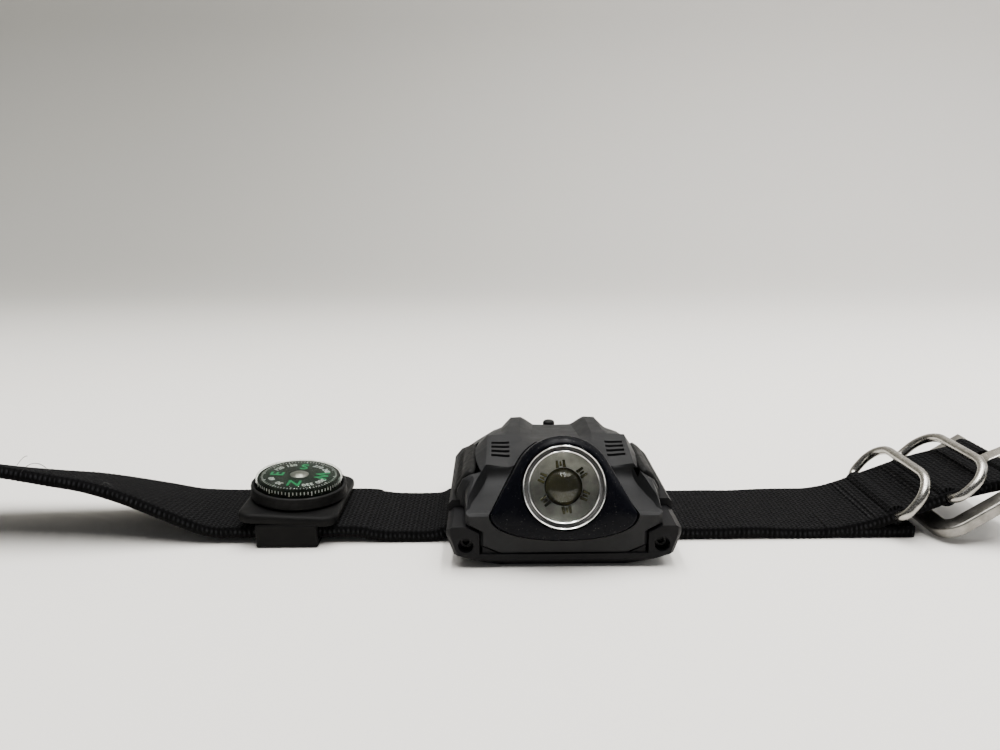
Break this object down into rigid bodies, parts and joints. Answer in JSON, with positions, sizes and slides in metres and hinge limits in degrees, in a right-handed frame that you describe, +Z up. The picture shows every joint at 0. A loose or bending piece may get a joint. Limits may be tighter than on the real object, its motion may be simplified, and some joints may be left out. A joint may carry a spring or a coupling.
{
  "type": "wrist lamp",
  "caption": "Wrist-worn torch with a bell-shaped lens nose on a webbing strap, with a clip-on button compass, wire keeper rings and a pin buckle.",
  "frame": {"origin": "centre of the flat face of the back plate, which rests on the wrist", "axes": "+X along the strap towards the buckle, +Y away from the beam, +Z up, out of the wrist"},
  "size_m": [0.2462, 0.047, 0.0256],
  "materials": {
    "shell_grey": "satin moulded plastic, very fine grain",
    "case_black": "satin moulded plastic",
    "nose_gloss": "polished, blue-black",
    "bezel_metal": "turned and polished",
    "plastic_black": "matt moulded plastic",
    "rubber_black": "matt moulded rubber",
    "lens_clear": "clear moulded optic",
    "dome_clear": "clear moulded capsule",
    "card_black": "printed card",
    "led_yellow": "phosphor",
    "board_green": "lacquered board",
    "battery_foil": "foil pouch",
    "aluminium_plain": "as machined",
    "steel_brushed": "brushed",
    "brass_plain": "turned",
    "webbing_black": "woven nylon webbing"
  },
  "bodies": {
    "lamp": {"base_case": "case_black", "back_plate": "case_black", "back_screw_1": "steel_brushed", "back_screw_2": "steel_brushed", "back_screw_3": "steel_brushed", "back_screw_4": "steel_brushed", "case_seal": "rubber_black", "upper_shell": "shell_grey", "nose_cowl": "nose_gloss", "lens_ring": "bezel_metal", "lens_gasket": "rubber_black", "lens": "lens_clear", "lens_holder": "plastic_black", "led_emitter": "led_yellow", "led_board": "board_green", "heat_sink": "aluminium_plain", "battery": "battery_foil", "control_board": "board_green", "usb_socket": "steel_brushed", "side_switch": "plastic_black", "mode_switch": "plastic_black", "strap_pin_left": "steel_brushed", "strap_pin_right": "steel_brushed"},
    "power_button": {"power_button": "rubber_black"},
    "mode_button": {"mode_button": "rubber_black"},
    "usb_cover": {"usb_cover": "rubber_black"},
    "tail_strap": {"tail_strap": "webbing_black"},
    "compass": {"compass_clip": "plastic_black", "compass_cup": "rubber_black", "compass_dome": "dome_clear", "compass_pivot": "brass_plain"},
    "compass_card": {"compass_card": "card_black", "card_magnet": "steel_brushed", "card_cap": "steel_brushed"},
    "buckle_strap": {"buckle_strap": "webbing_black"},
    "keeper_ring_1": {"keeper_ring_1": "steel_brushed"},
    "keeper_ring_2": {"keeper_ring_2": "steel_brushed"},
    "buckle": {"buckle_frame": "steel_brushed", "buckle_bar": "steel_brushed"},
    "buckle_tongue": {"buckle_tongue": "steel_brushed"}
  },
  "joints": [
    {"name": "power_press", "type": "slide", "parent": "lamp", "child": "power_button", "axis": [-1, 0, 0], "range_m": [0, 0.0008], "stiffness_N_per_m": 600},
    {"name": "mode_press", "type": "slide", "parent": "lamp", "child": "mode_button", "axis": [0, 0, -1], "range_m": [0, 0.0005], "stiffness_N_per_m": 500},
    {"name": "usb_cover_hinge", "type": "hinge", "parent": "lamp", "child": "usb_cover", "pos_m": [-0.0222, -0.003, 0.0113], "axis": [0, -1, 0], "range_deg": [0, 100]},
    {"name": "tail_hinge", "type": "hinge", "parent": "lamp", "child": "tail_strap", "pos_m": [-0.0194, 0, 0.005], "axis": [0, 1, 0], "range_deg": [-70, 45]},
    {"name": "compass_slide", "type": "slide", "parent": "tail_strap", "child": "compass", "axis": [1, 0, 0], "range_m": [-0.007, 0.007]},
    {"name": "card_spin", "type": "hinge", "parent": "compass", "child": "compass_card", "pos_m": [-0.0575, 0, 0.007], "axis": [0.061, 0, 0.9981], "continuous": true},
    {"name": "buckle_strap_hinge", "type": "hinge", "parent": "lamp", "child": "buckle_strap", "pos_m": [0.0194, 0, 0.005], "axis": [0, -1, 0], "range_deg": [-70, 45]},
    {"name": "ring_1_hinge", "type": "hinge", "parent": "buckle_strap", "child": "keeper_ring_1", "pos_m": [0.072, 0, 0.005], "axis": [0, 1, 0], "range_deg": [-120, 12]},
    {"name": "ring_2_hinge", "type": "hinge", "parent": "buckle_strap", "child": "keeper_ring_2", "pos_m": [0.0825, 0, 0.009], "axis": [0, 1, 0], "range_deg": [-70, 12]},
    {"name": "buckle_hinge", "type": "hinge", "parent": "buckle_strap", "child": "buckle", "pos_m": [0.097, 0, 0.0125], "axis": [0, 1, 0], "range_deg": [-150, 8]},
    {"name": "tongue_hinge", "type": "hinge", "parent": "buckle_strap", "child": "buckle_tongue", "pos_m": [0.097, 0, 0.0125], "axis": [0, 1, 0], "range_deg": [-95, 70]}
  ]
}
